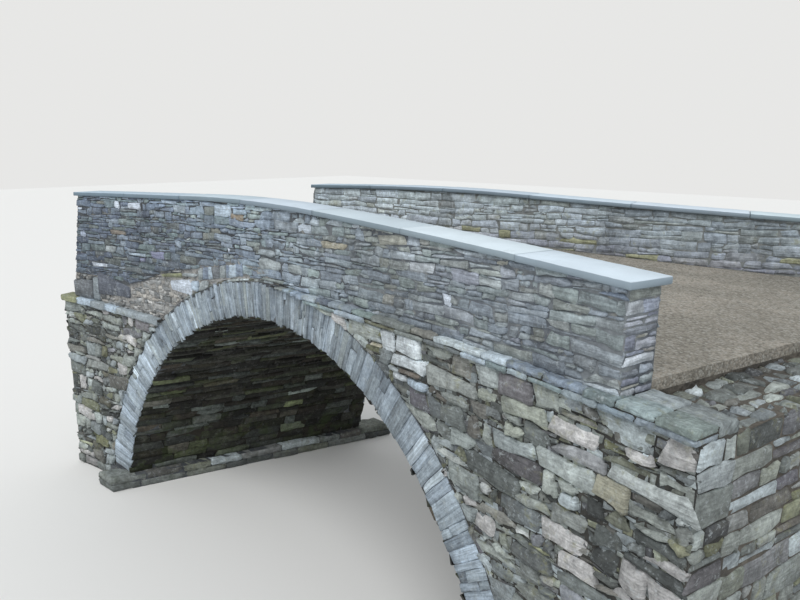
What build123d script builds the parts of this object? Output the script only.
from build123d import *
import os
from math import asin, cos, radians, sin, sqrt, tan

# Single-arch bridge of coursed stone that crosses its stream askew.
# Its humped side walls stand closest near the left bank and spread apart towards the right one.
# X runs along the road, Y across it and Z up. The origin is under the middle of the bridge, at water level.
# All sizes are in millimetres, and each inset is measured inwards from the outer edge of the copings.

# Side walls in plan
half_width = 2260
bend_radius = 30640
bend_lead = 2990
skew_shift = 1950
left_length = 5580
right_length = 5350
base_reach = 650
left_batter = 0.2

# Copings: slabs of one length from the left end, and a shorter one at the right
coping_width = 520
coping_thickness = 65
coping_overhang = 60
coping_joint = 8
full_slabs = 6
last_slab_share = 0.735

# Hump of the copings: a round crown between two straight ramps
crest_lead = 380
crown_radius = 41250
crown_half_length = 1500
parapet_height = 860

# Arch
arch_radius = 4590
arch_centre_depth = 525
ring_depth = 510
ring_projection = 20
crown_angle = 34

# Older base of the walls, with its ledge course so far under the top of the arch ring
base_projection = 30
left_ledge_drop = 1145
right_ledge_drop = 95
ledge_thickness = 95
ledge_projection = 90

# Footings along the water
footing_height = 260
footing_projection = 170

# Road, and the fill between it and the top of the arch ring
road_thickness = 110
crown_cover = 155

NEAR = -1
FAR = 1
LEFT = -1
RIGHT = 1
SIDES = {"near": NEAR, "far": FAR}
ENDS = {"left": LEFT, "right": RIGHT}

os.makedirs("parts", exist_ok=True)

wall_inset = coping_overhang
inner_inset = coping_width - coping_overhang
base_inset = wall_inset - base_projection
ledge_inset = wall_inset - ledge_projection
ring_inset = wall_inset - ring_projection
road_depth = parapet_height
extrados_radius = arch_radius + ring_depth
ring_top = extrados_radius - arch_centre_depth
crest_height = ring_top + crown_cover + road_thickness + parapet_height
reach = 2 * (left_length + right_length + skew_shift)
ledge_heights = {LEFT: ring_top - left_ledge_drop, RIGHT: ring_top - right_ledge_drop}


def edge_y(x):
    """Distance of a coping's outer edge from the middle of the road, at a distance along the road from the near arch."""
    return half_width + bend_radius - sqrt(bend_radius**2 - (x + bend_lead) ** 2)


def end_angle(side, end, extra=0):
    """Angle on the plan arc at one end of a wall, so far beyond the end of its coping."""
    shift = skew_shift if side == FAR else 0
    length = left_length if end == LEFT else right_length
    return asin((shift + end * (length + extra) + bend_lead) / bend_radius)


def unmoved(side, inset, angle):
    """Point in plan, counted from the near arch."""
    radius = bend_radius + inset
    return (radius * sin(angle) - bend_lead, side * (half_width + bend_radius - radius * cos(angle)))


corners = []
for one_side in SIDES.values():
    for one_end in ENDS.values():
        corners.append(unmoved(one_side, ledge_inset, end_angle(one_side, one_end, base_reach)))
        corners.append(unmoved(one_side, inner_inset, end_angle(one_side, one_end, base_reach)))
middle_x = (min(p[0] for p in corners) + max(p[0] for p in corners)) / 2
middle_y = (min(p[1] for p in corners) + max(p[1] for p in corners)) / 2
near_face_y = -edge_y(0) + wall_inset
far_face_y = edge_y(skew_shift) - wall_inset
skew_slope = skew_shift / (far_face_y - near_face_y)
crest_x = -crest_lead - middle_x


def on_side(side, inset, angle):
    """Point in plan on an arc of one side."""
    x, y = unmoved(side, inset, angle)
    return (x - middle_x, y - middle_y)


def plan_arc(side, inset, first, last):
    """Arc of one side in plan, between two angles."""
    return ThreePointArc(
        on_side(side, inset, first), on_side(side, inset, (first + last) / 2), on_side(side, inset, last)
    )


def upright(edges, bottom, top):
    """Upright solid over a closed outline in plan."""
    outline = make_face(Curve() + edges)
    return extrude(Pos(0, 0, bottom) * outline, amount=top - bottom, dir=(0, 0, 1))


def band(side, outer, inner, first, last, bottom=0, top=crest_height):
    """Part of a side wall between two insets, two end angles square to the wall, and two heights."""
    edges = [
        plan_arc(side, outer, first, last),
        Line(on_side(side, outer, last), on_side(side, inner, last)),
        plan_arc(side, inner, last, first),
        Line(on_side(side, inner, first), on_side(side, outer, first)),
    ]
    return upright(edges, bottom, top)


def between(inset, extra, bottom, top):
    """Space between the two walls, from inset to inset, ending in a straight line from wall to wall."""
    first_near = end_angle(NEAR, LEFT, extra)
    last_near = end_angle(NEAR, RIGHT, extra)
    first_far = end_angle(FAR, LEFT, extra)
    last_far = end_angle(FAR, RIGHT, extra)
    edges = [
        plan_arc(NEAR, inset, first_near, last_near),
        Line(on_side(NEAR, inset, last_near), on_side(FAR, inset, last_far)),
        plan_arc(FAR, inset, last_far, first_far),
        Line(on_side(FAR, inset, first_far), on_side(NEAR, inset, first_near)),
    ]
    return upright(edges, bottom, top)


def askew(outline):
    """Prism of an upright outline, drawn from the arch centre line at water level, that runs along the skew of the arch."""
    start = Pos(-middle_x - skew_slope * near_face_y, -middle_y, 0)
    shape = start * (Plane.XZ * outline)
    return extrude(shape, amount=reach, dir=(skew_slope, 1, 0), both=True)


def arch_disc(radius):
    """Round outline about the centre of the arch."""
    return Pos(0, -arch_centre_depth) * Circle(radius)


def half(end):
    """Prism of everything on one side of the middle of the arch."""
    return askew(Pos(end * reach / 2, 0) * Rectangle(reach, reach))


def wedge(first, last):
    """Prism of a sector of the arch, between two angles in degrees from the crown, clockwise seen from the near side."""
    centre = (0, -arch_centre_depth)
    far_out = reach
    tips = [(far_out * sin(radians(a)), far_out * cos(radians(a)) - arch_centre_depth) for a in (first, last)]
    return askew(make_face(Polyline(centre, tips[0], tips[1], centre)))


def under_hump(depth):
    """Everything lower than a surface that lies so far under the top of the copings."""
    radius = crown_radius - depth
    angle = asin(crown_half_length / crown_radius)
    centre_z = crest_height - crown_radius
    left_foot = (crest_x - radius * sin(angle), centre_z + radius * cos(angle))
    right_foot = (crest_x + radius * sin(angle), centre_z + radius * cos(angle))
    left_far = (left_foot[0] - reach * cos(angle), left_foot[1] - reach * sin(angle))
    right_far = (right_foot[0] + reach * cos(angle), right_foot[1] - reach * sin(angle))
    deep = -crest_height
    edges = [
        Line(left_far, left_foot),
        ThreePointArc(left_foot, (crest_x, centre_z + radius), right_foot),
        Line(right_foot, right_far),
        Line(right_far, (right_far[0], deep)),
        Line((right_far[0], deep), (left_far[0], deep)),
        Line((left_far[0], deep), left_far),
    ]
    return extrude(Plane.XZ * make_face(Curve() + edges), amount=reach, both=True)


def ramp_height(x, depth):
    """Height on one of the straight ramps, so far under the top of the copings."""
    radius = crown_radius - depth
    angle = asin(crown_half_length / crown_radius)
    foot_z = crest_height - crown_radius + radius * cos(angle)
    return foot_z - (abs(x - crest_x) - radius * sin(angle)) * tan(angle)


def beyond_left(side):
    """Everything outside the leaning left end of one wall."""
    angle = end_angle(side, LEFT, -coping_overhang)
    x, y = on_side(side, wall_inset, angle)
    top = (x, y, ramp_height(x, coping_thickness))
    lean = (-cos(angle), -side * sin(angle), left_batter)
    face = Plane(origin=top, x_dir=(-side * sin(angle), cos(angle), 0), z_dir=lean)
    return extrude(face * Rectangle(reach, reach), amount=reach)


def save(name, solid):
    """Writes one piece."""
    solid.label = name
    export_step(solid, f"parts/{name}.step")


bore = askew(arch_disc(arch_radius))
arch_block = askew(arch_disc(extrados_radius))
shell = arch_block - bore
coping_top = under_hump(0)
wall_top = under_hump(coping_thickness)
road_top = under_hump(road_depth)
road_base = under_hump(road_depth + road_thickness)
halves = {LEFT: half(LEFT), RIGHT: half(RIGHT)}
whole_angle = 90
sectors = {
    "left": wedge(-whole_angle, -crown_angle),
    "crown": wedge(-crown_angle, crown_angle),
    "right": wedge(crown_angle, whole_angle),
}

# Footings: a course along each edge of the water that reaches in under the arch
spring_x = sqrt(extrados_radius**2 - arch_centre_depth**2)
inner_x = sqrt(arch_radius**2 - (arch_centre_depth + footing_height) ** 2) - footing_projection
footing_span = spring_x - inner_x
footings = {}
for word, end in ENDS.items():
    middle = end * (inner_x + footing_span / 2)
    course = askew(Pos(middle, footing_height / 2) * Rectangle(footing_span, footing_height))
    footings[end] = course
through = between(ledge_inset, base_reach, 0, footing_height)
for word, end in ENDS.items():
    save(f"footing_{word}", through & footings[end])
both_footings = footings[LEFT] + footings[RIGHT]

# Arch rings, one at each face
for side_word, side in SIDES.items():
    face_band = band(side, ring_inset, inner_inset, end_angle(side, LEFT), end_angle(side, RIGHT), footing_height)
    ring = face_band & shell
    for word, sector in sectors.items():
        save(f"ring_{side_word}_{word}", ring & sector)

# Barrel of the arch between the rings
barrel = between(inner_inset, 0, footing_height, crest_height) & shell
for word, sector in sectors.items():
    save(f"barrel_{word}", barrel & sector)

# Older base of each wall, its ledge course, and the wall above it up to the road
for side_word, side in SIDES.items():
    for word, end in ENDS.items():
        low_first = end_angle(side, LEFT, base_reach)
        low_last = end_angle(side, RIGHT, base_reach)
        ledge_bottom = ledge_heights[end]
        ledge_top = ledge_bottom + ledge_thickness
        base = band(side, base_inset, inner_inset, low_first, low_last, 0, ledge_bottom)
        save(f"base_wall_{side_word}_{word}", (base & halves[end]) - arch_block - both_footings)
        ledge = band(side, ledge_inset, inner_inset, low_first, low_last, ledge_bottom, ledge_top)
        save(f"ledge_{side_word}_{word}", (ledge & halves[end]) - arch_block)
        last = end_angle(side, RIGHT, -coping_overhang)
        upper = band(side, wall_inset, inner_inset, low_first, last, ledge_top) & halves[end] & road_top
        save(f"spandrel_{side_word}_{word}", upper - arch_block - beyond_left(side))

# Parapets from the road up to the copings
for side_word, side in SIDES.items():
    first = end_angle(side, LEFT, base_reach)
    last = end_angle(side, RIGHT, -coping_overhang)
    upper = band(side, wall_inset, inner_inset, first, last, crest_height / 2) & wall_top
    save(f"parapet_{side_word}", upper - road_top - beyond_left(side))

# Copings
joint_angle = coping_joint / bend_radius
layer = coping_top - wall_top
for side_word, side in SIDES.items():
    first = end_angle(side, LEFT)
    last = end_angle(side, RIGHT)
    step = (last - first) / (full_slabs + last_slab_share)
    starts = [first + step * number for number in range(full_slabs + 1)]
    stops = [start - joint_angle for start in starts[1:]] + [last]
    for number, (start, stop) in enumerate(zip(starts, stops), 1):
        slab = band(side, 0, coping_width, start, stop, crest_height / 2)
        save(f"coping_{side_word}_{number}", slab & layer)

# Masonry core behind the arch, the fill above it, and the road
for word, end in ENDS.items():
    core = between(inner_inset, base_reach, 0, ledge_heights[end]) & halves[end] & road_base
    save(f"core_{word}", core - arch_block - both_footings)
    fill = between(inner_inset, -coping_overhang, ledge_heights[end], crest_height) & halves[end] & road_base
    save(f"fill_{word}", fill - arch_block)
road = between(inner_inset, -coping_overhang, crest_height / 2, crest_height) & road_top
save("road", road - road_base)
